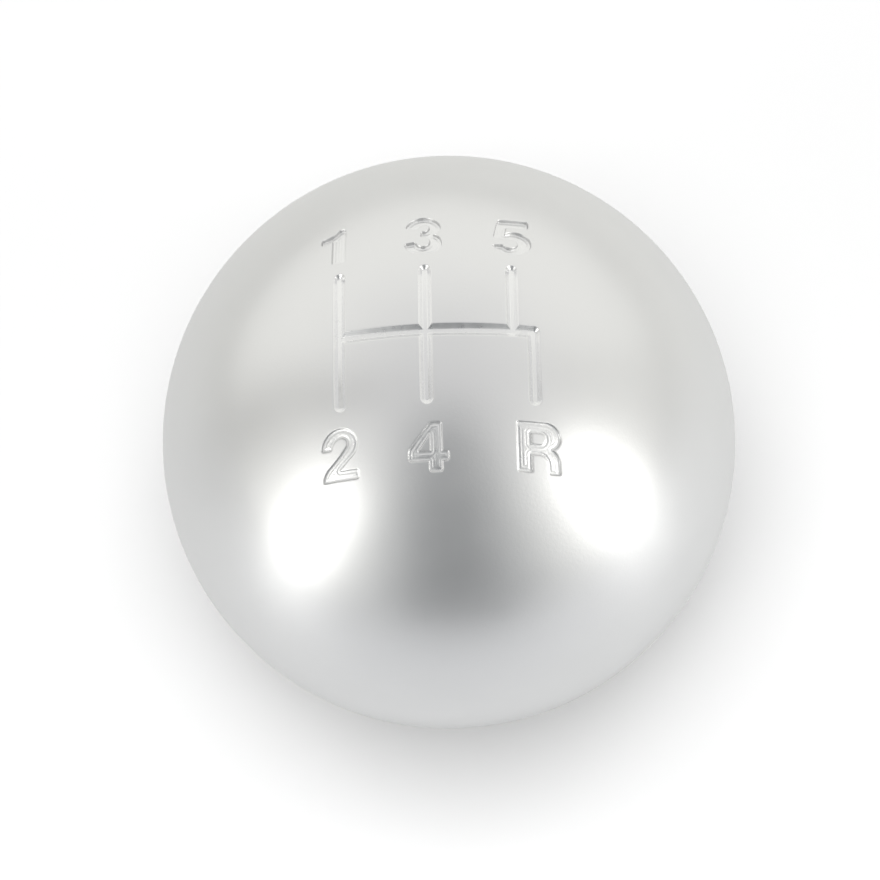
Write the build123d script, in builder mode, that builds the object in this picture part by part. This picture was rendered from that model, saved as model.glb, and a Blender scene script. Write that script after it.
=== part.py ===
from build123d import *
import os
from math import asin, degrees, radians, sqrt, tan

# Ball gear knob, turned from one aluminium billet, with the shift gate and the gear numerals
# milled into its top. Millimetres, +Z up. The origin is the centre of the flat base.

# Ball and its flat base
ball_diameter = 50.0
base_diameter = 24.0
base_edge_radius = 0.6

# Tapped hole for the lever
thread_diameter = 10.0
thread_pitch = 1.5
bore_depth = 25.0
drill_point_angle = 118.0
mouth_diameter = 11.0

# Shift gate: three lanes, a reverse lane and the cross gate, measured in plan from the pole
groove_width = 1.05
groove_depth = 0.34
cutter_angle = 90.0
lane_pitch = 6.92
reverse_step = 1.6
lane_reach = 6.0

# Numerals, measured in plan
numeral_height = 3.7
numeral_depth = 0.25
upper_row = 8.95
lower_row = 9.15

# The numerals' drawing is this high in its own units
drawing_height = 100

# Sizes worked out from those above
ball_radius = ball_diameter / 2
base_radius = base_diameter / 2
ball_centre = sqrt(ball_radius**2 - base_radius**2)
ball_top = ball_centre + ball_radius
drill_radius = (thread_diameter - thread_pitch) / 2
drill_tip = bore_depth + drill_radius / tan(radians(drill_point_angle / 2))
mouth_radius = mouth_diameter / 2
mouth_depth = mouth_radius - drill_radius

reverse_lane = lane_pitch + reverse_step / 2
fifth_lane = reverse_lane - reverse_step
third_lane = fifth_lane - lane_pitch
first_lane = third_lane - lane_pitch
lane_end = lane_reach - groove_width / 2

# The cutter is a cone: its width at the ball's surface is the groove's width
cutter_slope = tan(radians(cutter_angle / 2))
cutter_lift = groove_depth
cutter_half_width = groove_width / 2 + cutter_lift * cutter_slope
cutter_point = groove_width / 2 / cutter_slope

# Each numeral is drawn about its own middle, in the drawing's units. The first outline is
# the numeral, a second one is its counter. A step is a point at the end of a straight stretch,
# a pair of points for an arc through the one to the other, or a point alone in brackets for an
# arc that carries on smoothly from the stretch before. A straight stretch closes each outline.
NUMERALS = {
    "one": [
        [(-19, -50), (12, -50), (12, 49), (-4, 49), ((-19, 34), (-44, 28)), (-44, 10),
         ((-31, 12), (-19, 18))],
    ],
    "two": [
        [(37, -52), (37, -32), (-6, -32), (25, -5), ((22, 45),), ((-34, 38),), ((-45, 9),),
         (-20, 9), ((-15, 24), (-4, 31)), ((8, 13),), ((-27, -22),), ((-44, -52),)],
    ],
    "three": [
        [(-43, 26), ((-4, 55), (33, 34)), ((20, 5),), ((38, -21), (20, -47)), ((-33, -41),),
         ((-45, -20),), (-19, -16), ((-3, -30), (11, -18)), ((-9, -4),), (-8, 14),
         ((6, 16), (10, 24)), ((-3, 33),), ((-19, 19),)],
    ],
    "four": [
        [(0, -51), (30, -51), (30, -30), (44, -30), (44, -9), (30, -9), (30, 48), (4, 48),
         (-44, -8), (-44, -30), (0, -30)],
        [(3, -9), (3, 22), (-21, -9)],
    ],
    "five": [
        [(-28, 50), (40, 51), (40, 28), (-8, 28), (-11, 10), ((19, 13), (40, -1)), ((38, -36),),
         ((-20, -46),), ((-41, -25),), (-16, -23), ((-1, -32), (14, -24)), ((4, -8),),
         ((-15, -8),), (-38, -3)],
    ],
    "reverse": [
        [(-43, 52), (19, 52), ((51, 26),), ((35, -2),), ((46, -14), (50, -30)), (50, -50),
         (23, -51), (22, -31), ((4, -15),), (-10, -15), (-10, -50), (-43, -49)],
        [(-10, 28), (8, 28), ((8, 8),), (-10, 8)],
    ],
}
NUMERAL_PLACES = {
    "one": (first_lane, upper_row),
    "two": (first_lane, -lower_row),
    "three": (third_lane, upper_row),
    "four": (third_lane, -lower_row),
    "five": (fifth_lane, upper_row),
    "reverse": (reverse_lane, -lower_row),
}


def groove_plane(x, y, turn):
    """Section plane of a groove at plan point x, y: its Y is the ball's normal there, and its
    Z runs along the groove, which turns about the given direction."""
    normal = Vector(x, y, sqrt(ball_radius**2 - x**2 - y**2)).normalized()
    along = turn.cross(normal)
    return Plane(
        origin=Vector(0, 0, ball_centre) + normal * ball_radius,
        x_dir=normal.cross(along),
        z_dir=along,
    )


def groove_end(plane, side):
    """Half cone that rounds off a groove, beyond its section plane on the given side."""
    with BuildPart() as end:
        with BuildSketch(plane):
            with BuildLine():
                Polyline(
                    (0, cutter_lift), (side * cutter_half_width, cutter_lift), (0, -cutter_point),
                    close=True,
                )
            make_face()
        revolve(axis=Axis(plane.origin, plane.y_dir), revolution_arc=180)
    return end.part


def groove_run(plane, turn, arc):
    """Groove with the cutter's section, carried round the ball's centre."""
    with BuildPart() as run:
        with BuildSketch(plane):
            with BuildLine():
                Polyline(
                    (-cutter_half_width, cutter_lift), (cutter_half_width, cutter_lift),
                    (0, -cutter_point), close=True,
                )
            make_face()
        revolve(axis=Axis((0, 0, ball_centre), turn), revolution_arc=arc)
    return run.part


def lane(x, y_head, y_foot, round_foot=True):
    """One lane of the gate, with its head and foot rounded. A foot that lies in the cross gate
    is left square."""
    turn = Vector(1, 0, 0)
    radius = sqrt(ball_radius**2 - x**2)
    arc = degrees(asin(y_head / radius) - asin(y_foot / radius))
    head = groove_plane(x, y_head, turn)
    foot = groove_plane(x, y_foot, turn)
    solids = [groove_run(head, turn, arc), groove_end(head, 1)]
    if round_foot:
        solids.append(groove_end(foot, -1))
    return solids


def cross_gate(x_from, x_to):
    """The groove across the lanes. Its ends lie inside the outer lanes."""
    turn = Vector(0, 1, 0)
    arc = degrees(asin(x_to / ball_radius) - asin(x_from / ball_radius))
    return groove_run(groove_plane(x_from, 0, turn), turn, arc)


def drawn_outline(outline):
    """Closed line of a numeral, at its real size, from the steps that draw it."""
    unit = numeral_height / drawing_height
    with BuildLine() as drawn:
        start = pen = Vector(*outline[0]) * unit
        for step in outline[1:]:
            if not isinstance(step[0], tuple):
                stretch = Line(pen, Vector(*step) * unit)
            elif len(step) == 1:
                stretch = TangentArc(pen, Vector(*step[0]) * unit, tangent=stretch % 1)
            else:
                stretch = ThreePointArc(pen, *(Vector(*point) * unit for point in step))
            pen = stretch @ 1
        Line(pen, start)
    return drawn.line


def numeral_face(outlines):
    """Sketch of one numeral, less its counter."""
    with BuildSketch() as numeral:
        for count, outline in enumerate(outlines):
            make_face(drawn_outline(outline).edges(), mode=Mode.SUBTRACT if count else Mode.ADD)
    return numeral.sketch


grooves = [
    *lane(first_lane, lane_end, -lane_end),
    *lane(third_lane, lane_end, -lane_end),
    *lane(fifth_lane, lane_end, 0, round_foot=False),
    *lane(reverse_lane, 0, -lane_end),
    cross_gate(first_lane, reverse_lane),
]
numeral_faces = {name: numeral_face(outlines) for name, outlines in NUMERALS.items()}

# What the cutter takes out for the gate, down to an even depth below the ball's surface
with BuildPart() as gate_cut:
    add(grooves)
    with Locations((0, 0, ball_centre)):
        Sphere(ball_radius - groove_depth, mode=Mode.SUBTRACT)

# What it takes out for the numerals, which are laid out in plan and follow the ball in depth
with BuildPart() as numeral_cut:
    with BuildSketch(Plane.XY.offset(ball_top)):
        for name, place in NUMERAL_PLACES.items():
            with Locations(place):
                add(numeral_faces[name])
    extrude(amount=-ball_radius)
    with Locations((0, 0, ball_centre)):
        Sphere(ball_radius - numeral_depth, mode=Mode.SUBTRACT)

with BuildPart() as knob:
    with BuildSketch(Plane.XZ) as half_section:
        with BuildLine():
            Polyline(
                (0, ball_top), (0, drill_tip), (drill_radius, bore_depth),
                (drill_radius, mouth_depth), (mouth_radius, 0), (base_radius, 0),
            )
            ThreePointArc((base_radius, 0), (ball_radius, ball_centre), (0, ball_top))
        make_face()
        base_corner = half_section.vertices().sort_by_distance((base_radius, 0, 0))[0]
        fillet(base_corner, base_edge_radius)
    revolve(axis=Axis.Z)
    add(gate_cut.part, mode=Mode.SUBTRACT)
    add(numeral_cut.part, mode=Mode.SUBTRACT)
knob.part.label = "knob"

os.makedirs("parts", exist_ok=True)
export_step(knob.part, "parts/knob.step")
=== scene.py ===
"""Ball gear knob of satin aluminium, with a bright-cut shift gate and gear numerals on its top.

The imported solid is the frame. One closed mesh stands for it: the ball with its engraving, the
turned base and the tapped hole. The knob's sizes are millimetres, and plan points are complex.
"""

import logging
import math
from collections.abc import Sequence
from dataclasses import dataclass
from enum import Enum
from typing import NamedTuple

import bmesh
import bpy
import numpy as np
from mathutils import Matrix, Vector
from mathutils.geometry import delaunay_2d_cdt
from numpy.typing import NDArray


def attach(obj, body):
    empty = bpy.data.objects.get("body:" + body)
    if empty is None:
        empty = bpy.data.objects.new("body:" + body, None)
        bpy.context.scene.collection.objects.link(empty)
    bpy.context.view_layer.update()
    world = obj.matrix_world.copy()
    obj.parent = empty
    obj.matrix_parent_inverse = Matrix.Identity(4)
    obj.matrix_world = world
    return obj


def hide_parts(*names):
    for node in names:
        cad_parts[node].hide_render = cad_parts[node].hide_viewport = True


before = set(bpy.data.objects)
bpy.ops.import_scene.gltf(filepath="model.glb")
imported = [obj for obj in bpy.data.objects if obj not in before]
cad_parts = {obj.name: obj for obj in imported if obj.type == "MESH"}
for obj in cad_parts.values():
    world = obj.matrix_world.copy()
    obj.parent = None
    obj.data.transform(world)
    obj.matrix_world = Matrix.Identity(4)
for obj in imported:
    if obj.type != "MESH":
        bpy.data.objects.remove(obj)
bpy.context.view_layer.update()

MM = 0.001
IMAGE_WIDTH = 880
LIP_ATTRIBUTE = "lip_distance"
log = logging.getLogger("gear_knob")

Plan = NDArray[np.complex128]
Values = NDArray[np.float64]
Indices = NDArray[np.int64]
Mask = NDArray[np.bool_]
Step = tuple
Pair = tuple[float, float]
Triple = tuple[float, float, float]
Colour = Triple
Socket = bpy.types.NodeSocket


class Surface(Enum):
    """The finishes on the knob, in the order of its material slots."""

    SHELL = 0
    LANE = 1
    CROSS = 2
    NUMERAL = 3
    BASE = 4
    THREAD = 5


class Side(Enum):
    """Which side of an outline the cutter is on: inside a numeral, or outside its counter."""

    INSIDE = 1
    OUTSIDE = -1


class MarkPattern(Enum):
    """Where a finish's tool marks run."""

    NONE = "none"
    ALONG_LIP = "along the lip"
    ROUND_AXIS = "round the axis"


class Stretch(NamedTuple):
    """A stretch of an outline that turns evenly, or runs straight when its half turn is 0."""

    start: complex
    end: complex
    half_turn: float

    def at(self, share: Values) -> Plan:
        """Points at shares of the stretch's length, from 0 to 1."""
        # The chord to a share u is the whole chord, times the sine of u half turns over the sine
        # of one half turn, turned back by the part of the half turn that is left
        reach = share * np.sinc(self.half_turn * share / np.pi) / np.sinc(self.half_turn / np.pi)
        return self.start + (self.end - self.start) * reach * np.exp(1j * self.half_turn * (share - 1))

    @property
    def length(self) -> float:
        """Length along it: the chord times the half turn, over the half turn's sine."""
        return abs(self.end - self.start) / np.sinc(self.half_turn / np.pi)


@dataclass(frozen=True)
class Outline:
    """A closed outline that a cutter follows, drawn by straight and round stretches.

    A step is a point at the end of a straight stretch, a pair of points for an arc through the
    one to the other, or a point alone in brackets for an arc that carries on smoothly.
    """

    steps: Sequence[Step]
    side: Side
    unit: float
    place: complex
    spacing: float = 0.06
    fewest_points: int = 3
    corner_reach: float = 0.24
    reaches_per_stretch: float = 2.2
    corner_turn: float = math.radians(25)
    fan_turn: float = math.radians(12)

    def stretches(self) -> list[Stretch]:
        """Reads the steps.

        Returns:
            The stretches, in millimetres.
        """
        pen = complex(*self.steps[0])
        heading = 1 + 0j
        made = []
        for step in (*self.steps[1:], self.steps[0]):
            is_arc = isinstance(step[0], tuple)
            points = [complex(*point) for point in (step if is_arc else (step,))]
            end = points[-1]
            if len(points) == 2:
                heading = (end - pen) * (points[0] - pen) / (end - points[0])
            elif not is_arc:
                heading = end - pen
            half_turn = float(np.angle((end - pen) / heading))
            ends = (point * self.unit + self.place for point in (pen, end))
            made.append(Stretch(*ends, half_turn))
            heading = (end - pen) * np.exp(1j * half_turn)
            pen = end
        return made

    def samples(self) -> tuple[Plan, Plan]:
        """Points along the outline and the directions from them into the pocket.

        The sign of the outline's area says which side the pocket is on. A corner that the cutter
        can't reach into is rounded by a parabola. At a corner that it goes round, the point is
        repeated with directions that fan from one stretch's to the next's.

        Returns:
            The points and the unit directions, in order round the outline.
        """
        drawn = self.stretches()
        starts, ends, half_turns = (np.array(row) for row in zip(*drawn))
        corners = starts - self.place
        doubled_area = np.sum(np.imag(np.conj(corners) * np.roll(corners, -1)))
        side = int(np.sign(doubled_area)) * self.side.value
        chords = ends - starts
        leaving = np.roll(chords * np.exp(1j * half_turns), 1)
        turns = np.angle(chords * np.exp(-1j * half_turns) / leaving) * side
        points, inward = [], []
        for index, stretch in enumerate(drawn):
            turn, after = turns[index], (index + 1) % len(drawn)
            length = stretch.length
            count = max(self.fewest_points, math.ceil(length / self.spacing))
            share = np.arange(count) / count
            line = stretch.at(share)
            way = chords[index] * np.exp(1j * half_turns[index] * (2 * share - 1))
            if turn > self.corner_turn:
                line, way = self.eased(line, way, drawn[index - 1], stretch, share * length)
            if turns[after] > self.corner_turn:
                line, way = self.eased(line, way, stretch, drawn[after], (share - 1) * length)
            if turn < -self.corner_turn:
                copies = np.arange(math.ceil(-turn / self.fan_turn), 0, -1)
                fan = way[0] * np.exp(-1j * side * turn * copies / (copies[0] + 1))
                line = np.concatenate([np.full(len(copies), starts[index]), line])
                way = np.concatenate([fan, way])
            points.append(line)
            inward.append(1j * side * way / np.abs(way))
        return np.concatenate(points), np.concatenate(inward)

    def eased(
        self, line: Plan, way: Plan, first: Stretch, then: Stretch, past: Values
    ) -> tuple[Plan, Plan]:
        """Moves the points near a corner on to a parabola that rounds it.

        With v from 0 to 1 round the corner, a point is (1-v)^2 of the near end, 2v(1-v) of the
        corner and v^2 of the far end.

        Args:
            line: Points of one stretch.
            way: Their directions.
            first: The stretch before the corner.
            then: The stretch after it.
            past: How far past the corner each point lies, less than 0 before it.

        Returns:
            The points and directions, changed within one reach of the corner.
        """
        shorter = min(first.length, then.length)
        reach = min(self.corner_reach, shorter / self.reaches_per_stretch)
        near = first.at(np.array(1 - reach / first.length))
        far = then.at(np.array(reach / then.length))
        corner = first.end
        v = np.clip(0.5 + past / (2 * reach), 0, 1)
        close = np.abs(past) < reach
        bend = (1 - v) ** 2 * near + 2 * v * (1 - v) * corner + v**2 * far
        bend_way = (1 - v) * (corner - near) + v * (far - corner)
        return np.where(close, bend, line), np.where(close, bend_way, way)


def distance_to(points: Plan, loop: Plan) -> Values:
    """Distance from points to a closed line of short straight pieces.

    Each point is dropped square on to each piece, at a share of the piece that is held between
    its ends, and the shortest drop counts. Repeated corners make no piece.

    Args:
        points: The plan points.
        loop: Corners of the closed line, in order.

    Returns:
        One distance for each point.
    """
    pieces = np.roll(loop, -1) - loop
    start, piece = loop[pieces != 0], pieces[pieces != 0]
    from_start = points[:, None] - start
    share = np.clip(np.real(from_start * np.conj(piece)) / np.abs(piece) ** 2, 0, 1)
    return np.abs(from_start - share * piece).min(axis=1)


def inside(points: Plan, loop: Plan) -> Mask:
    """Whether points lie inside a closed line: the angles of its pieces then add up to a full turn."""
    away = loop - points[:, None]
    return np.abs(np.angle(np.roll(away, -1, axis=1) / away).sum(axis=1)) > np.pi


@dataclass(frozen=True)
class CutterPass:
    """How a cutter leaves the metal, as a function of the distance in from the lip."""

    depth: float
    wall_run: float
    edge_radius: float = 0.018
    ridge_height: float = 0.0
    ridge_start: float = 1.0
    ridge_run: float = 0.1

    def depth_at(self, lip_distance: Values) -> Values:
        """Depth below the ball: a straight wall, eased at the lip and at the floor's edge.

        The wall's slope times the difference of two eased ramps, which start at the lip and at
        the wall's foot. An eased ramp is the edge radius times log(1 + exp(distance / radius)).
        Past the ridge's start the floor rises again in a half cosine to the ridge's height.

        Args:
            lip_distance: Distances in from the lip, less than 0 outside the cut.

        Returns:
            Depths in millimetres.
        """
        ramp = np.logaddexp(0, lip_distance / self.edge_radius)
        ramp -= np.logaddexp(0, (lip_distance - self.wall_run) / self.edge_radius)
        rise = np.clip((lip_distance - self.ridge_start) / self.ridge_run, 0, 1)
        ridge = self.ridge_height * (1 - np.cos(np.pi * rise)) / 2
        return self.depth / self.wall_run * self.edge_radius * ramp - ridge


@dataclass(frozen=True)
class Lane:
    """A lane of the gate, in plan: its place across the ball, and its lower and upper end."""

    x: float
    lower: float
    upper: float


@dataclass
class ShiftGate:
    """The gate's grooves: lanes that run over the ball, and the groove that crosses them."""

    ball_radius: float
    width: float = 1.05
    depth: float = 0.34
    cutter_half_angle: float = math.radians(45)
    lane_pitch: float = 6.92
    reverse_step: float = 1.6
    lane_reach: float = 6.0
    spacing: float = 0.2
    round_points: int = 28

    def __post_init__(self) -> None:
        """Places the lanes: first and second, third and fourth, fifth, and reverse."""
        end = self.lane_reach - self.width / 2
        reverse = self.lane_pitch + self.reverse_step / 2
        fifth = reverse - self.reverse_step
        third = fifth - self.lane_pitch
        self.first = Lane(third - self.lane_pitch, -end, end)
        self.third = Lane(third, -end, end)
        self.fifth = Lane(fifth, 0.0, end)
        self.reverse = Lane(reverse, -end, 0.0)

    @property
    def cutter(self) -> CutterPass:
        """What the cutter leaves across a groove."""
        return CutterPass(self.depth, self.depth * math.tan(self.cutter_half_angle))

    def end_axes(self, x: float, y: float) -> tuple[Values, Values, Values]:
        """Directions at a lane's end, from its angles across and along the ball.

        Args:
            x: The lane's place.
            y: The end's place.

        Returns:
            Unit vectors up out of the ball, across the lane and along it.
        """
        across = math.asin(x / self.ball_radius)
        along = math.asin(y / (self.ball_radius * math.cos(across)))
        level = np.array([1, 0, 0])
        outward = np.array([0, math.sin(along), math.cos(along)])
        up = math.sin(across) * level + math.cos(across) * outward
        over = math.cos(across) * level - math.sin(across) * outward
        return up, over, np.cross(up, over)

    def round_end(self, x: float, y: float, half_width: float, turn: Values) -> Plan:
        """Points round a lane's end: a circle about the ball's normal there.

        The point at a turn is the normal times the cosine of the width's angle, plus the
        direction of the turn times its sine, on the ball and seen in plan.

        Args:
            x: The lane's place.
            y: The end's place.
            half_width: Distance from the end's middle, over the ball.
            turn: Angles from the lane's right-hand side, counter-clockwise.

        Returns:
            Plan points.
        """
        up, over, along = self.end_axes(x, y)
        angle = half_width / self.ball_radius
        way = np.outer(np.cos(turn), over) + np.outer(np.sin(turn), along)
        point = self.ball_radius * (up * math.cos(angle) + way * math.sin(angle))
        return point[:, 0] + 1j * point[:, 1]

    def outline(self, half_width: float) -> Plan:
        """Closed line round the whole gate at a distance from the grooves' middle lines.

        Sides are straight in plan, because a groove turns about an axis of the ball. They meet in
        corners where the lanes leave the cross groove.

        Args:
            half_width: Distance from the middle lines.

        Returns:
            Plan points, counter-clockwise.
        """
        widening = half_width / self.ball_radius
        low = -self.ball_radius * math.sin(widening)
        half = np.linspace(0, np.pi, self.round_points)
        quarter = np.linspace(0, np.pi / 2, self.round_points // 2)

        def corner(lane: Lane, side: int, level: float) -> Plan:
            """The corner between a lane's side, at the lane's angle widened, and the cross groove."""
            angle = math.asin(lane.x / self.ball_radius) + side * widening
            return np.array([self.ball_radius * math.sin(angle) + 1j * level])

        def foot(lane: Lane) -> Plan:
            """A lane's lower end, from its left to its right."""
            return self.round_end(lane.x, lane.lower, half_width, half + np.pi)

        def head(lane: Lane) -> Plan:
            """A lane's upper end, from its right to its left."""
            return self.round_end(lane.x, lane.upper, half_width, half)

        return self.divided(np.concatenate([
            foot(self.first), corner(self.first, 1, low),
            corner(self.third, -1, low), foot(self.third), corner(self.third, 1, low),
            corner(self.reverse, -1, low), foot(self.reverse),
            self.round_end(self.reverse.x, self.reverse.upper, half_width, quarter),
            corner(self.fifth, 1, -low), head(self.fifth), corner(self.fifth, -1, -low),
            corner(self.third, 1, -low), head(self.third), corner(self.third, -1, -low),
            corner(self.first, 1, -low), head(self.first),
        ]))

    def divided(self, loop: Plan) -> Plan:
        """Adds evenly spaced points to the long straight pieces of a closed line.

        Args:
            loop: Corners of the closed line, in order.

        Returns:
            The corners and the points between them, in order.
        """
        pieces = np.roll(loop, -1) - loop
        counts = np.maximum(1, np.ceil(np.abs(pieces) / self.spacing).astype(int))
        owner = np.repeat(np.arange(len(loop)), counts)
        step = np.arange(len(owner)) - np.repeat(np.cumsum(counts) - counts, counts)
        return loop[owner] + pieces[owner] * step / counts[owner]

    def lip_distances(self, points: Plan) -> tuple[Values, Values]:
        """Distances in from the lips of the lanes and of the cross groove, over the ball.

        Half the width less the distance to the middle line, which is the ball's radius times the
        difference of angles beside a groove, or the angle to its end's middle beyond the end.

        Args:
            points: Plan points.

        Returns:
            The distance for the nearest lane and for the cross groove, less than 0 outside.
        """
        flat = np.column_stack([points.real, points.imag]) / self.ball_radius
        up = np.column_stack([flat, np.sqrt(1 - np.sum(flat**2, axis=1))])
        across = np.arcsin(flat[:, 0])
        along = np.arctan2(up[:, 1], up[:, 2])
        between = (points.real > self.first.x) & (points.real < self.reverse.x)
        to_cross = np.where(between, np.abs(np.arcsin(flat[:, 1])), 1.0)
        to_lane = np.ones(len(points))
        for lane in (self.first, self.third, self.fifth, self.reverse):
            lower, upper = (self.end_axes(lane.x, y)[0] for y in (lane.lower, lane.upper))
            start, stop = (math.atan2(tip[1], tip[2]) for tip in (lower, upper))
            beside = np.abs(across - math.asin(lane.x / self.ball_radius))
            to_end = np.arccos(np.clip(np.maximum(up @ lower, up @ upper), -1, 1))
            nearest = np.where((along > start) & (along < stop), beside, to_end)
            to_lane = np.minimum(to_lane, nearest)
        half = self.width / 2
        return half - to_lane * self.ball_radius, half - to_cross * self.ball_radius


# Each numeral is drawn about its own middle, in units of which this many make its height
DRAWING_HEIGHT = 100
NUMERALS = {
    "one": [
        [(-19, -50), (12, -50), (12, 49), (-4, 49), ((-19, 34), (-44, 28)), (-44, 10),
         ((-31, 12), (-19, 18))],
    ],
    "two": [
        [(37, -52), (37, -32), (-6, -32), (25, -5), ((22, 45),), ((-34, 38),), ((-45, 9),),
         (-20, 9), ((-15, 24), (-4, 31)), ((8, 13),), ((-27, -22),), ((-44, -52),)],
    ],
    "three": [
        [(-43, 26), ((-4, 55), (33, 34)), ((20, 5),), ((38, -21), (20, -47)), ((-33, -41),),
         ((-45, -20),), (-19, -16), ((-3, -30), (11, -18)), ((-9, -4),), (-8, 14),
         ((6, 16), (10, 24)), ((-3, 33),), ((-19, 19),)],
    ],
    "four": [
        [(0, -51), (30, -51), (30, -30), (44, -30), (44, -9), (30, -9), (30, 48), (4, 48),
         (-44, -8), (-44, -30), (0, -30)],
        [(3, -9), (3, 22), (-21, -9)],
    ],
    "five": [
        [(-28, 50), (40, 51), (40, 28), (-8, 28), (-11, 10), ((19, 13), (40, -1)), ((38, -36),),
         ((-20, -46),), ((-41, -25),), (-16, -23), ((-1, -32), (14, -24)), ((4, -8),),
         ((-15, -8),), (-38, -3)],
    ],
    "reverse": [
        [(-43, 52), (19, 52), ((51, 26),), ((35, -2),), ((46, -14), (50, -30)), (50, -50),
         (23, -51), (22, -31), ((4, -15),), (-10, -15), (-10, -50), (-43, -49)],
        [(-10, 28), (8, 28), ((8, 8),), (-10, 8)],
    ],
}


@dataclass
class Numeral:
    """One gear's numeral: a pocket with steep walls and the ridge that two passes leave."""

    outlines: Sequence[Sequence[Step]]
    place: complex
    height: float = 3.7
    cutter: CutterPass = CutterPass(
        0.25, 0.045, 0.01, ridge_height=0.02, ridge_start=0.22, ridge_run=0.2
    )

    def __post_init__(self) -> None:
        """Follows the outlines once and keeps the points and the directions into the pocket."""
        sides = [Side.INSIDE] + [Side.OUTSIDE] * (len(self.outlines) - 1)
        unit = self.height / DRAWING_HEIGHT
        self.loops = [
            Outline(steps, side, unit, self.place).samples()
            for steps, side in zip(self.outlines, sides)
        ]

    def lip_distance(self, points: Plan) -> Values:
        """Distance in from the numeral's lip, less than 0 outside the pocket.

        Args:
            points: Plan points.

        Returns:
            One distance for each point: to the nearest outline, with the sign of the pocket.
        """
        nearest = np.min([distance_to(points, loop) for loop, _ in self.loops], axis=0)
        in_pocket = np.logical_xor.reduce([inside(points, loop) for loop, _ in self.loops])
        return np.where(in_pocket, nearest, -nearest)

    def near(self, points: Plan, margin: float) -> Mask:
        """Which points lie in a square about the numeral, wider than its height by a margin."""
        away = points - self.place
        return np.maximum(np.abs(away.real), np.abs(away.imag)) < self.height / 2 + margin


@dataclass
class Engraving:
    """All that is cut into the top of the ball, laid out in plan."""

    ball_radius: float
    upper_row: float = 8.95
    lower_row: float = 9.15
    margin: float = 0.6
    line_tolerance: float = 0.004
    gate_rows: Sequence[float] = (
        -0.12, -0.05, -0.02, 0.0, 0.02, 0.05, 0.17, 0.29, 0.32, 0.36, 0.39, 0.44, 0.5,
    )
    numeral_rows: Sequence[float] = (
        -0.1, -0.045, -0.02, -0.006, 0.008, 0.022, 0.037, 0.051, 0.066, 0.09, 0.14,
        0.2, 0.26, 0.32, 0.38, 0.44, 0.5, 0.56,
    )

    def __post_init__(self) -> None:
        """Sets the gate out, and the numerals at the ends of its lanes."""
        gate = self.gate = ShiftGate(self.ball_radius)
        lanes = (gate.first, gate.first, gate.third, gate.third, gate.fifth, gate.reverse)
        rows = (self.upper_row, -self.lower_row) * 3
        self.numerals = [
            Numeral(outlines, complex(lane.x, row))
            for outlines, lane, row in zip(NUMERALS.values(), lanes, rows)
        ]

    def lines(self) -> tuple[Plan, Indices]:
        """Lines that follow the lips at fixed distances, where the mesh has its corners.

        Points of a numeral's line that lie nearer to another stretch of the outline are left out.

        Returns:
            Plan points, and pairs of the points that follow each other on a line.
        """
        loops = [self.gate.outline(self.gate.width / 2 - row) for row in self.gate_rows]
        drawn = [(loop, np.ones(len(loop), dtype=bool)) for loop in loops]
        for numeral in self.numerals:
            for line, inward in numeral.loops:
                for row in self.numeral_rows:
                    moved = line + row * inward
                    off_row = np.abs(np.abs(numeral.lip_distance(moved)) - abs(row))
                    drawn.append((moved, off_row < self.line_tolerance))
        points, pairs = [], []
        count = 0
        for line, kept in drawn:
            order = np.cumsum(kept) - 1 + count
            following = np.column_stack([order, np.roll(order, -1)])
            points.append(line[kept])
            pairs.append(following[kept & np.roll(kept, -1)])
            count += int(kept.sum())
        return np.concatenate(points), np.concatenate(pairs)

    def survey(self, points: Plan) -> tuple[Values, Values]:
        """Distances in from the lips, and the depths of cut.

        Args:
            points: Plan points.

        Returns:
            The distances in from the nearest lips of a lane, of the cross groove and of a numeral,
            as rows, less than 0 outside, and the depth below the ball.
        """
        lane, cross = self.gate.lip_distances(points)
        depth = self.gate.cutter.depth_at(np.maximum(lane, cross))
        numbers = np.full(len(points), -self.margin)
        for numeral in self.numerals:
            close = numeral.near(points, self.margin)
            numbers[close] = numeral.lip_distance(points[close])
            depth[close] = np.maximum(depth[close], numeral.cutter.depth_at(numbers[close]))
        return np.stack([lane, cross, numbers]), depth


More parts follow.
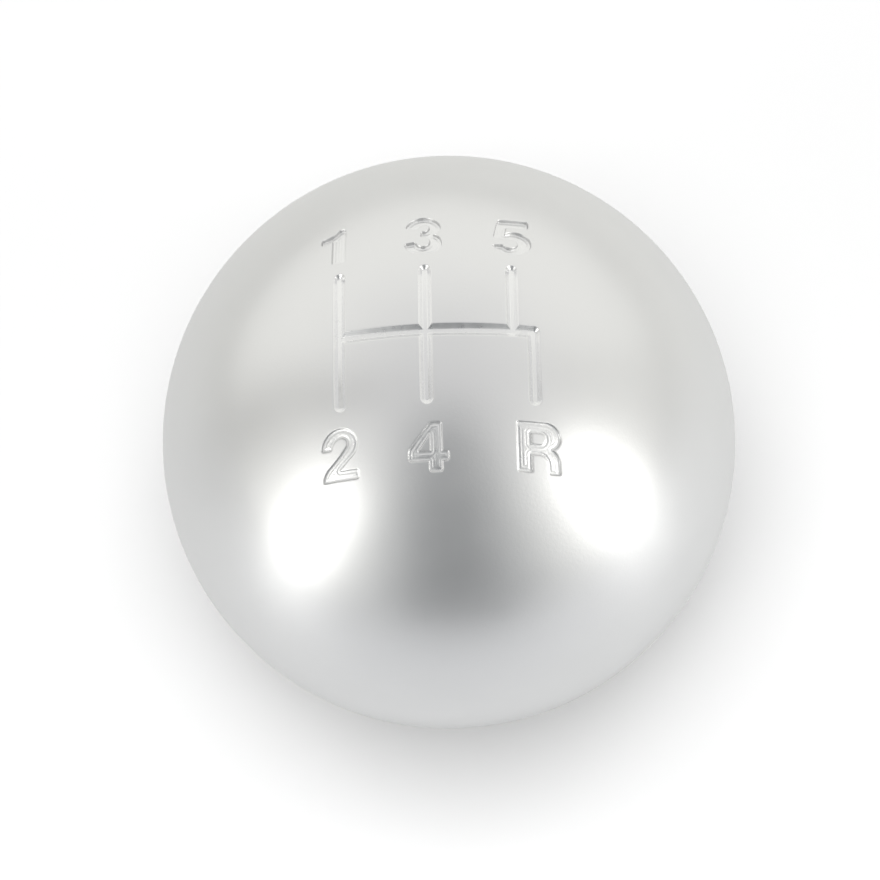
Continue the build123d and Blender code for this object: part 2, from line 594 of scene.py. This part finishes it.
@dataclass
class Wiring:
    """The nodes of a material, a world or a group, as they are put in and joined."""

    tree: bpy.types.NodeTree

    def __post_init__(self) -> None:
        """Clears away the nodes that a new tree comes with."""
        self.tree.nodes.clear()

    def add(
        self, kind: str, inputs: dict[int | str, object] | None = None, **settings: object
    ) -> bpy.types.Node:
        """Adds a node, sets its properties, and sets or links its inputs.

        Args:
            kind: The node's type.
            inputs: Values, or output sockets to link, by input name or number.
            settings: The node's own properties.

        Returns:
            The node.
        """
        made = self.tree.nodes.new(kind)
        for name, value in settings.items():
            setattr(made, name, value)
        for key, value in (inputs or {}).items():
            if isinstance(value, Socket):
                self.tree.links.new(value, made.inputs[key])
            else:
                made.inputs[key].default_value = value
        return made

    def math(self, operation: str, *values: object) -> Socket:
        """One step of arithmetic."""
        return self.add("ShaderNodeMath", dict(enumerate(values)), operation=operation).outputs[0]

    def vector(self, operation: str, *values: object) -> bpy.types.Node:
        """One step of arithmetic with vectors."""
        return self.add("ShaderNodeVectorMath", dict(enumerate(values)), operation=operation)

    def between(self, share: Socket, first: object, then: object) -> Socket:
        """A number between two others: the first, plus a share of the difference."""
        return self.math("MULTIPLY_ADD", share, self.math("SUBTRACT", then, first), first)

    def mix(self, share: Socket, first: Colour | Socket, then: Colour | Socket) -> Socket:
        """A colour between two others, by a share from 0 to 1."""
        first, then = (end if isinstance(end, Socket) else (*end, 1) for end in (first, then))
        return self.add("ShaderNodeMix", {0: share, 6: first, 7: then}, data_type="RGBA").outputs[2]

    def ramp(
        self, value: Socket, ends: Pair, to: Pair = (0.0, 1.0), easing: str = "LINEAR"
    ) -> Socket:
        """A value's range, held at both ends and carried over to another range."""
        inputs = dict(enumerate((value, *ends, *to)))
        return self.add("ShaderNodeMapRange", inputs, interpolation_type=easing).outputs["Result"]

    def rise(self, value: Socket, middle: float, width: float) -> Socket:
        """A smooth step from 0 up to 1 about a middle."""
        return self.ramp(value, (middle - width / 2, middle + width / 2), easing="SMOOTHSTEP")

    def fall(self, value: Socket, middle: float, width: float) -> Socket:
        """A smooth step from 1 down to 0 about a middle."""
        return self.math("SUBTRACT", 1.0, self.rise(value, middle, width))

    def window(self, value: Socket, middle: float, half: float, softness: float) -> Socket:
        """A window on a value: 1 inside and 0 outside, with soft edges."""
        away = self.math("ABSOLUTE", self.math("SUBTRACT", value, middle))
        return self.fall(away, half, softness)

    def lip_distance(self) -> Socket:
        """Distance in from the nearest lip, which the mesh holds in millimetres."""
        return self.add("ShaderNodeAttribute", attribute_name=LIP_ATTRIBUTE).outputs["Fac"]

    def place(self) -> Socket:
        """Place on the object, in metres."""
        return self.add("ShaderNodeTexCoord").outputs["Object"]

    def axis_distance(self) -> Socket:
        """Distance from the upright axis, in millimetres."""
        flat = self.vector("MULTIPLY", self.place(), (1 / MM, 1 / MM, 0)).outputs["Vector"]
        return self.vector("LENGTH", flat).outputs["Value"]


def grain_group() -> bpy.types.NodeTree:
    """The grain that all the finishes share, made once: a fine and a slow noise of the place.

    Returns:
        A group with a fine height and a slow tone.
    """
    name = "metal grain"
    if name in bpy.data.node_groups:
        return bpy.data.node_groups[name]
    tree = bpy.data.node_groups.new(name, "ShaderNodeTree")
    sockets = {"INPUT": ("Grains per Metre", "Patches per Metre"), "OUTPUT": ("Height", "Tone")}
    for way, names in sockets.items():
        for socket in names:
            tree.interface.new_socket(socket, in_out=way, socket_type="NodeSocketFloat")
    nodes = Wiring(tree)
    grains, patches, *_ = nodes.add("NodeGroupInput").outputs
    place = nodes.place()
    fine, slow = (
        nodes.add("ShaderNodeTexNoise", {
            "Vector": place, "Scale": scale, "Detail": detail, "Roughness": roughness,
        })
        for scale, detail, roughness in ((grains, 2.0, 0.6), (patches, 3.0, 0.5))
    )
    nodes.add("NodeGroupOutput", {"Height": fine.outputs["Fac"], "Tone": slow.outputs["Fac"]})
    return tree


@dataclass(frozen=True)
class MetalFinish:
    """A finish of bare aluminium: its tone, gloss, grain and tool marks, and painted shade on its
    walls.

    The painted shade's window on the walls is its middle, half width and softness, in from the lip.
    """

    name: str
    dark_tone: Colour
    light_tone: Colour
    roughness: Pair
    grain_height: float
    grain_size: float = 0.2
    patch_size: float = 0.5
    marks: MarkPattern = MarkPattern.NONE
    mark_pitch: float = 0.11
    mark_height: float = 0.002
    painted_wall_shade: float = 0.0
    painted_shade_window: Triple = (0.027, 0.025, 0.016)
    wall_roughness: float = 0.46
    usual_grain: Pair = (0.3, 0.7)

    def material(self) -> bpy.types.Material:
        """Builds the material.

        Tone and roughness follow the slow grain. The fine grain bumps the surface, and so do the
        tool marks, a sine of the distance from the lip or the axis. On the walls, painted shade
        darkens the colour, and the roughness rises.

        Returns:
            The material.
        """
        made = bpy.data.materials.new(self.name)
        made.use_nodes = True
        nodes = Wiring(made.node_tree)
        grain = nodes.add("ShaderNodeGroup", {
            "Grains per Metre": 1 / (self.grain_size * MM),
            "Patches per Metre": 1 / (self.patch_size * MM),
        }, node_tree=grain_group()).outputs
        colour = nodes.mix(grain["Tone"], self.dark_tone, self.light_tone)
        roughness = nodes.ramp(grain["Tone"], self.usual_grain, self.roughness)
        if self.painted_wall_shade > 0:
            # painted shade: the pocket walls' colour is darkened where the recess would be in shade
            wall = nodes.window(nodes.lip_distance(), *self.painted_shade_window)
            kept = nodes.between(wall, 1.0, 1.0 - self.painted_wall_shade)
            colour = nodes.vector("MULTIPLY", colour, kept).outputs["Vector"]
            roughness = nodes.between(wall, roughness, self.wall_roughness)
        normal = nodes.add("ShaderNodeBump", {
            "Strength": 1.0, "Distance": self.grain_height * MM, "Height": grain["Height"],
        }).outputs["Normal"]
        if self.marks is not MarkPattern.NONE:
            along_lip = self.marks is MarkPattern.ALONG_LIP
            distance = nodes.lip_distance() if along_lip else nodes.axis_distance()
            wave = nodes.math("SINE", nodes.math("MULTIPLY", distance, 2 * math.pi / self.mark_pitch))
            normal = nodes.add("ShaderNodeBump", {
                "Strength": 1.0, "Distance": self.mark_height * MM, "Height": wave, "Normal": normal,
            }).outputs["Normal"]
        shader = nodes.add("ShaderNodeBsdfPrincipled", {
            "Base Color": colour, "Metallic": 1.0, "Roughness": roughness, "Normal": normal,
        })
        nodes.add("ShaderNodeOutputMaterial", {"Surface": shader.outputs["BSDF"]})
        return made


FINISHES = {
    Surface.SHELL: MetalFinish(
        "satin blasted shell", (0.88, 0.88, 0.88), (0.92, 0.92, 0.92), roughness=(0.32, 0.355),
        grain_height=0.006, grain_size=0.25, patch_size=6.0,
    ),
    Surface.LANE: MetalFinish(
        "bright cut lanes", (0.97, 0.97, 0.97), (0.99, 0.99, 0.99), roughness=(0.18, 0.28),
        grain_height=0.002, grain_size=0.16, marks=MarkPattern.ALONG_LIP,
    ),
    Surface.CROSS: MetalFinish(
        "milled cross groove", (0.92, 0.92, 0.92), (0.98, 0.98, 0.98), roughness=(0.26, 0.36),
        grain_height=0.004, marks=MarkPattern.ALONG_LIP,
    ),
    Surface.NUMERAL: MetalFinish(
        "milled numerals", (0.94, 0.94, 0.94), (0.97, 0.97, 0.97), roughness=(0.26, 0.42),
        grain_height=0.014, marks=MarkPattern.ALONG_LIP, mark_pitch=0.26, mark_height=0.007,
        # painted shade on the numerals' walls
        painted_wall_shade=0.22,
    ),
    Surface.BASE: MetalFinish(
        "turned base face", (0.78, 0.785, 0.78), (0.84, 0.845, 0.84), roughness=(0.2, 0.28),
        grain_height=0.002, grain_size=0.1, patch_size=3.0,
        marks=MarkPattern.ROUND_AXIS, mark_pitch=0.16, mark_height=0.004,
    ),
    Surface.THREAD: MetalFinish(
        "tapped wall", (0.7, 0.7, 0.69), (0.8, 0.8, 0.79), roughness=(0.24, 0.36),
        grain_height=0.004, grain_size=0.12, patch_size=1.5,
    ),
}


def add_object(name: str, data: bpy.types.ID) -> bpy.types.Object:
    """Adds an object with its mesh, lamp or camera to the scene, at the origin."""
    bpy.context.scene.collection.objects.link(made := bpy.data.objects.new(name, data))
    return made


@dataclass(frozen=True)
class Patch:
    """A patch of the knob's surface: the finish goes with its faces, the lip with its corners."""

    corners: Values
    faces: list[list[int]]
    finish: Indices
    lip_distance: Values


@dataclass
class GearKnob:
    """The knob: a ball with an engraved top, a flat turned base and a tapped hole."""

    ball_radius: float = 25.0
    base_radius: float = 12.0
    base_edge_radius: float = 0.6
    thread_radius: float = 5.0
    thread_pitch: float = 1.5
    thread_root: float = 0.19
    thread_half_angle: float = math.radians(30)
    thread_length: float = 21.0
    drill_radius: float = 4.25
    bore_depth: float = 25.0
    drill_point_angle: float = math.radians(118)
    mouth_radius: float = 5.5
    cap_radius: float = 16.5
    round_steps: int = 144
    fill_spacing: float = 0.55
    ring_spacing: float = 0.6
    edge_rings: int = 7
    base_rings: int = 9
    rows_per_pitch: int = 10
    far_from_lip: float = -9.0
    joining_distance: float = 0.002
    merging_distance: float = 0.0001
    sharp_angle: float = math.radians(32)

    def __post_init__(self) -> None:
        """Works out where the ball's centre is, and lays the engraving out."""
        self.centre = math.sqrt(self.ball_radius**2 - self.base_radius**2)
        self.engraving = Engraving(self.ball_radius)
        self.angles = np.arange(self.round_steps) * 2 * np.pi / self.round_steps

    def fill(self) -> Plan:
        """Points that fill the cap away from the engraving: a grid of even triangles.

        Returns:
            Plan points.
        """
        rise = self.fill_spacing * math.sqrt(3) / 2
        rows, steps = (math.ceil(self.cap_radius / gap) for gap in (rise, self.fill_spacing))
        row, step = np.meshgrid(np.arange(-rows, rows + 1), np.arange(-steps, steps + 1))
        points = ((step + row % 2 / 2) * self.fill_spacing + 1j * row * rise).ravel()
        points = points[np.abs(points) < self.cap_radius - self.fill_spacing / 2]
        distances, _ = self.engraving.survey(points)
        return points[distances.max(axis=0) < -self.fill_spacing / 2]

    def cap(self) -> Patch:
        """The engraved top, as heights over plan points.

        The points are joined into triangles whose sides keep to the lines along the lips. The
        numerals' points are then drawn in towards the axis by the depth's share of the radius.
        The height above the ball's centre is the root of the squared radius at the depth of cut
        less the squared distance from the axis.

        Returns:
            The cap's patch.
        """
        lines, pairs = self.engraving.lines()
        ring = self.cap_radius * np.exp(1j * self.angles)
        order = np.arange(self.round_steps)
        rim = np.column_stack([order, np.roll(order, -1)])
        points = np.concatenate([ring, lines, self.fill()])
        edges = np.concatenate([rim, pairs + len(ring)]).tolist()
        flat = np.column_stack([points.real, points.imag]).tolist()
        made, _, faces, _, _, _ = delaunay_2d_cdt(flat, edges, [], 0, self.joining_distance)
        plan = np.array(made) @ np.array([1, 1j])
        distances, depth = self.engraving.survey(plan)
        plan *= np.where(distances[2] > -self.engraving.margin, 1 - depth / self.ball_radius, 1)
        height = self.centre + np.sqrt((self.ball_radius - depth) ** 2 - np.abs(plan) ** 2)
        inside_cut = distances[:, np.array(faces)].mean(axis=2) > 0
        finish = np.full(len(faces), Surface.SHELL.value)
        for surface, within in zip((Surface.NUMERAL, Surface.CROSS, Surface.LANE), inside_cut[::-1]):
            finish[within] = surface.value
        corners = np.column_stack([plan.real, plan.imag, height])
        return Patch(corners, faces, finish, distances.max(axis=0))

    def turned_profile(self) -> tuple[Values, Values, Indices]:
        """Radius, height and finish down the ball, round the base's edge and over the base.

        Ball and edge are arcs, by the sine and cosine of the angle from the top.

        Returns:
            Radii, heights, and the finish of the band that starts at each.
        """
        centre, edge = self.centre, self.base_edge_radius
        edge_middle = math.sqrt((self.ball_radius - edge) ** 2 - (centre - edge) ** 2)
        start = math.asin(self.cap_radius / self.ball_radius)
        end = math.pi / 2 + math.atan2(centre - edge, edge_middle)
        rings = math.ceil(self.ball_radius * (end - start) / self.ring_spacing)
        fall = np.linspace(start, end, rings)
        turn = np.linspace(end, math.pi, self.edge_rings)[1:]
        flat = np.linspace(edge_middle, self.mouth_radius, self.base_rings)[1:]
        radius = np.concatenate([
            self.ball_radius * np.sin(fall), edge_middle + edge * np.sin(turn), flat,
        ])
        height = np.concatenate([
            centre + self.ball_radius * np.cos(fall), edge + edge * np.cos(turn), np.zeros(len(flat)),
        ])
        finish = np.full(len(radius), Surface.BASE.value)
        finish[: rings - 1] = Surface.SHELL.value
        finish[-1] = Surface.THREAD.value
        return radius, height, finish

    def thread_radius_at(self, height: Values, angle: Values) -> Values:
        """Radius of the tapped wall.

        A turn's share is the height over the pitch less the angle over a full turn. From the
        middle of the root the radius falls on a sixty degree flank to the tapping drill's wall.
        It dies out over the last turn, and the mouth's cone cuts it off below.

        Args:
            height: Heights above the base.
            angle: Angles round the axis.

        Returns:
            Radii at each height and angle.
        """
        share = height / self.thread_pitch - angle / (2 * np.pi)
        from_root = np.abs(share - np.round(share)) * self.thread_pitch
        fall = np.clip(from_root - self.thread_root / 2, 0, None) / math.tan(self.thread_half_angle)
        dying = np.clip((self.thread_length - height) / self.thread_pitch, 0, 1)
        depth = np.clip(self.thread_radius - self.drill_radius - fall, 0, None) * dying
        return np.maximum(self.drill_radius + depth, self.mouth_radius - height)

    def turned_surface(self, number: int) -> Patch:
        """The rest of the knob, as one surface of height row and angle.

        The profile is carried round the axis. In the tapped hole the radius also changes with
        the angle, and the drill's point closes the hole.

        Args:
            number: The number of its first corner in the mesh.

        Returns:
            The surface's patch.
        """
        radius, height, finish = self.turned_profile()
        row_step = self.thread_pitch / self.rows_per_pitch
        bore = np.append(np.arange(row_step, self.thread_length + row_step, row_step), self.bore_depth)
        around, along = np.meshgrid(self.angles, bore)
        turned = np.repeat(radius[:, None], self.round_steps, axis=1)
        radii = np.concatenate([turned, self.thread_radius_at(along, around)])
        heights = np.concatenate([height, bore])[:, None] * np.ones(self.round_steps)
        grid = np.stack([radii * np.cos(self.angles), radii * np.sin(self.angles), heights], axis=2)
        tip = self.bore_depth + self.drill_radius / math.tan(self.drill_point_angle / 2)
        corners = np.concatenate([grid.reshape(-1, 3), [[0, 0, tip]]])
        here = number + np.arange(radii.size).reshape(radii.shape)
        beside = np.roll(here, -1, axis=1)
        quads = np.stack([here[:-1], here[1:], beside[1:], beside[:-1]], axis=2).reshape(-1, 4)
        point = np.column_stack([here[-1], np.full(self.round_steps, number + radii.size), beside[-1]])
        finish = np.concatenate([finish, np.full(len(bore), Surface.THREAD.value)])
        return Patch(
            corners, quads.tolist() + point.tolist(), np.repeat(finish, self.round_steps),
            np.full(len(corners), self.far_from_lip),
        )

    def build(self) -> bpy.types.Object:
        """Makes the closed mesh.

        Returns:
            The knob's object, at the origin.
        """
        top = self.cap()
        patches = (top, self.turned_surface(len(top.corners)))
        corners = np.concatenate([patch.corners for patch in patches]) * MM
        finish = np.concatenate([patch.finish for patch in patches]).astype(np.int32)
        lip = np.concatenate([patch.lip_distance for patch in patches]).astype(np.float32)
        mesh = bpy.data.meshes.new("knob")
        mesh.from_pydata(corners.tolist(), [], [face for patch in patches for face in patch.faces])
        mesh.polygons.foreach_set("material_index", finish)
        mesh.polygons.foreach_set("use_smooth", np.ones(len(finish), dtype=bool))
        mesh.attributes.new(LIP_ATTRIBUTE, "FLOAT", "POINT").data.foreach_set("value", lip)
        joined = bmesh.new()
        joined.from_mesh(mesh)
        bmesh.ops.remove_doubles(joined, verts=joined.verts, dist=self.merging_distance * MM)
        bmesh.ops.recalc_face_normals(joined, faces=joined.faces)
        open_edges = sum(not edge.is_manifold for edge in joined.edges)
        joined.to_mesh(mesh)
        joined.free()
        mesh.set_sharp_from_angle(angle=self.sharp_angle)
        log.info("knob: %d faces, %d open edges", len(mesh.polygons), open_edges)
        return add_object("knob_body", mesh)

    def dress(self, knob: bpy.types.Object) -> None:
        """Gives the knob its finishes and its place in the frame.

        Args:
            knob: The knob's object.
        """
        for surface in Surface:
            knob.data.materials.append(FINISHES[surface].material())
        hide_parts("knob")
        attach(knob, "root")


@dataclass(frozen=True)
class TentLamp:
    """A lamp that shines through the light tent, in windows of azimuth and elevation."""

    across: Triple
    upright: Triple
    strength: float


@dataclass(frozen=True)
class TentSeam:
    """A darker band in the tent's wall, in a window of azimuth below its top edge."""

    across: Triple
    top_edge: Pair
    darkness: float


@dataclass
class Studio:
    """A white light tent on a pale floor, with an open front and a lamp outside each side.

    Its sizes are metres and its angles degrees, with azimuth 0 at the front. An edge is its
    middle and softness, and a window its middle, half width and softness.
    """

    wall_tone: float = 0.885
    roof_tone: float = 0.668
    roof_edge: Pair = (54.7, 55.7)
    front_tone: float = 0.225
    front_window: Triple = (1.8, 28.6, 49.2)
    front_top_edge: Pair = (81.0, 24.0)
    front_spread: float = 0.22
    front_spread_edge: Pair = (60.0, 36.0)
    lamps: Sequence[TentLamp] = (
        TentLamp((-53.0, 7.4, 9.0), (15.6, 20.8, 9.0), 2.6),
        TentLamp((64.9, 8.1, 16.0), (13.8, 21.4, 16.0), 2.8),
    )
    seams: Sequence[TentSeam] = (
        TentSeam((-93.7, 10.4, 20.8), (71.5, 30.0), 0.42),
        TentSeam((88.2, 23.7, 5.8), (55.0, 30.0), 0.16),
    )
    white: Colour = (1.0, 1.0, 1.0)
    wall_tint: Colour = (1.0, 1.0, 0.968)
    front_tint: Colour = (0.97, 1.0, 1.02)
    floor_size: float = 3.0
    # Painted light on the floor as the metal sees it: lighter to the right and back, cool cast in
    # front, warm behind.
    floor_painted_light_tones: Pair = (0.41, 0.5)
    floor_painted_light_way: Triple = (1.2, 0.6, 0.0)
    floor_painted_light_ends: Pair = (-0.15, 0.15)
    floor_painted_front_cast: Colour = (0.99, 1.0, 1.015)
    floor_painted_back_cast: Colour = (1.0, 1.0, 0.965)
    floor_painted_cast_ends: Pair = (-0.08, 0.08)
    floor_shown_tone: Colour = (0.65, 0.65, 0.65)
    floor_roughness: float = 0.36
    floor_specular: float = 1.0
    floor_whitening: Pair = (0.045, 0.09)
    floor_lamp_place: Triple = (-0.011, -0.091, 0.5)
    floor_lamp_size: Pair = (0.337, 0.461)
    floor_lamp_strength: float = 5.75
    camera_reach: float = 0.2275
    camera_clip: float = 0.01
    camera_elevation: float = 69.0
    camera_azimuth: float = 5.28
    camera_roll: float = 6.91
    lens: float = 105.94
    shift: Pair = (-9 / IMAGE_WIDTH, 2 / IMAGE_WIDTH)

    def light(self) -> None:
        """Makes the world: the tent's walls, its seams and open front, and the lamps' glow.

        The tone falls from the walls to the roof with the elevation. Each seam darkens it in a
        window of azimuth below the seam's top. The front's tone takes over in a window that
        spreads upwards, because the azimuth is drawn in there. Each lamp adds its strength in a
        window of azimuth and elevation. The front is slightly cool, glossy rays see the low walls
        slightly warm, and the camera sees plain white.
        """
        world = bpy.data.worlds.new("light tent")
        bpy.context.scene.world = world
        world.use_nodes = True
        nodes = Wiring(world.node_tree)
        way = nodes.add("ShaderNodeTexCoord").outputs["Generated"]
        x, y, z = nodes.add("ShaderNodeSeparateXYZ", {0: way}).outputs
        azimuth = nodes.math("DEGREES", nodes.math("ARCTAN2", x, nodes.math("MULTIPLY", y, -1.0)))
        elevation = nodes.math("DEGREES", nodes.math("ARCSINE", z))
        roof = nodes.rise(elevation, *self.roof_edge)
        tone = nodes.between(roof, self.wall_tone, self.roof_tone)
        for seam in self.seams:
            across = nodes.window(azimuth, *seam.across)
            band = nodes.math("MULTIPLY", across, nodes.fall(elevation, *seam.top_edge))
            tone = nodes.math("MULTIPLY", tone, nodes.between(band, 1.0, 1.0 - seam.darkness))
        high = nodes.rise(elevation, *self.front_spread_edge)
        spread = nodes.math("MULTIPLY", azimuth, nodes.between(high, 1.0, 1.0 - self.front_spread))
        across = nodes.window(spread, *self.front_window)
        opening = nodes.math("MULTIPLY", across, nodes.fall(elevation, *self.front_top_edge))
        tone = nodes.between(opening, tone, self.front_tone)
        for lamp in self.lamps:
            across = nodes.window(azimuth, *lamp.across)
            glow = nodes.math("MULTIPLY", across, nodes.window(elevation, *lamp.upright))
            tone = nodes.math("MULTIPLY_ADD", glow, lamp.strength, tone)
        path = nodes.add("ShaderNodeLightPath").outputs
        low = nodes.math("SUBTRACT", 1.0, roof)
        warmth = nodes.math("MULTIPLY", low, path["Is Glossy Ray"])
        tint = nodes.mix(opening, nodes.mix(warmth, self.white, self.wall_tint), self.front_tint)
        tent = nodes.add("ShaderNodeBackground", {"Color": tint, "Strength": tone}).outputs[0]
        plain = nodes.add("ShaderNodeBackground", {"Color": (*self.white, 1)}).outputs[0]
        shown = nodes.add("ShaderNodeMixShader", {0: path["Is Camera Ray"], 1: tent, 2: plain})
        nodes.add("ShaderNodeOutputWorld", {"Surface": shown.outputs[0]})

    def floor_lamp(self) -> None:
        """A soft lamp over the floor, which metal doesn't show, for the white sheet and its shadow."""
        data = bpy.data.lights.new("floor lamp", "AREA")
        data.shape = "RECTANGLE"
        data.size, data.size_y = self.floor_lamp_size
        data.energy = math.pi * self.floor_lamp_strength * data.size * data.size_y
        lamp = add_object("floor lamp", data)
        lamp.location = self.floor_lamp_place
        lamp.visible_glossy = False

    def sheet_finish(self) -> bpy.types.Material:
        """The floor's finish, as the camera and as the metal sees it.

        The metal sees painted light: a tone that grows evenly along one direction, lighter to the
        right and the back, with a painted colour cast from cool in front to warm behind. The camera
        sees an even tone, which fades to white around the knob.

        Returns:
            The material.
        """
        made = bpy.data.materials.new("pale sheet")
        made.use_nodes = True
        nodes = Wiring(made.node_tree)
        seen = nodes.add("ShaderNodeLightPath").outputs["Is Camera Ray"]
        place = nodes.place()
        # painted light: the tone the metal sees rises to the right and back, with a cool-to-warm
        # painted colour cast from front to back
        along = nodes.vector("DOT_PRODUCT", place, self.floor_painted_light_way).outputs["Value"]
        level = nodes.ramp(along, self.floor_painted_light_ends, self.floor_painted_light_tones)
        depth = nodes.add("ShaderNodeSeparateXYZ", {0: place}).outputs["Y"]
        back = nodes.ramp(depth, self.floor_painted_cast_ends)
        tint = nodes.mix(back, self.floor_painted_front_cast, self.floor_painted_back_cast)
        painted_light_colour = nodes.vector("MULTIPLY", tint, level).outputs["Vector"]
        sheet = nodes.add("ShaderNodeBsdfPrincipled", {
            "Base Color": nodes.mix(seen, painted_light_colour, self.floor_shown_tone),
            "Roughness": self.floor_roughness, "Specular IOR Level": self.floor_specular,
        }).outputs[0]
        away = nodes.vector("LENGTH", place).outputs["Value"]
        fade = nodes.math("MULTIPLY", nodes.ramp(away, self.floor_whitening, easing="SMOOTHSTEP"), seen)
        white = nodes.add("ShaderNodeEmission").outputs[0]
        shown = nodes.add("ShaderNodeMixShader", {0: fade, 1: sheet, 2: white})
        nodes.add("ShaderNodeOutputMaterial", {"Surface": shown.outputs[0]})
        return made

    def floor(self) -> None:
        """A pale square sheet with a slight sheen, under the knob."""
        half = self.floor_size / 2
        corners = [(-half, -half, 0), (half, -half, 0), (half, half, 0), (-half, half, 0)]
        mesh = bpy.data.meshes.new("floor")
        mesh.from_pydata(corners, [], [(0, 1, 2, 3)])
        mesh.materials.append(self.sheet_finish())
        sheet = add_object("floor", mesh)

    def camera(self, aim: Vector) -> None:
        """Sets the camera at the photograph's angle.

        From straight above, it is rolled, leant back and turned about the aim.

        Args:
            aim: The ball's centre, in metres.
        """
        data = bpy.data.cameras.new("camera")
        data.lens = self.lens
        data.shift_x, data.shift_y = self.shift
        data.clip_start = self.camera_clip
        turn = Matrix.Rotation(math.radians(self.camera_azimuth), 4, "Z")
        lean = Matrix.Rotation(math.radians(90 - self.camera_elevation), 4, "X")
        roll = Matrix.Rotation(math.radians(-self.camera_roll), 4, "Z")
        back = Matrix.Translation((0, 0, self.camera_reach))
        eye = add_object("camera", data)
        eye.matrix_world = Matrix.Translation(aim) @ turn @ lean @ roll @ back
        bpy.context.scene.camera = eye


def main() -> None:
    """Builds the knob and the studio, and reports each piece."""
    logging.basicConfig(level=logging.INFO, format="%(name)s: %(message)s")
    knob = GearKnob()
    body = knob.build()
    knob.dress(body)
    log.info("dressed %s with %d finishes", body.name, len(body.data.materials))
    studio = Studio()
    studio.light()
    studio.floor_lamp()
    studio.camera(Vector((0, 0, knob.centre * MM)))
    studio.floor()
    log.info("stage: light tent, floor lamp, camera and floor")
    bpy.context.scene.view_settings.view_transform = "Standard"


if __name__ == "__main__":
    main()
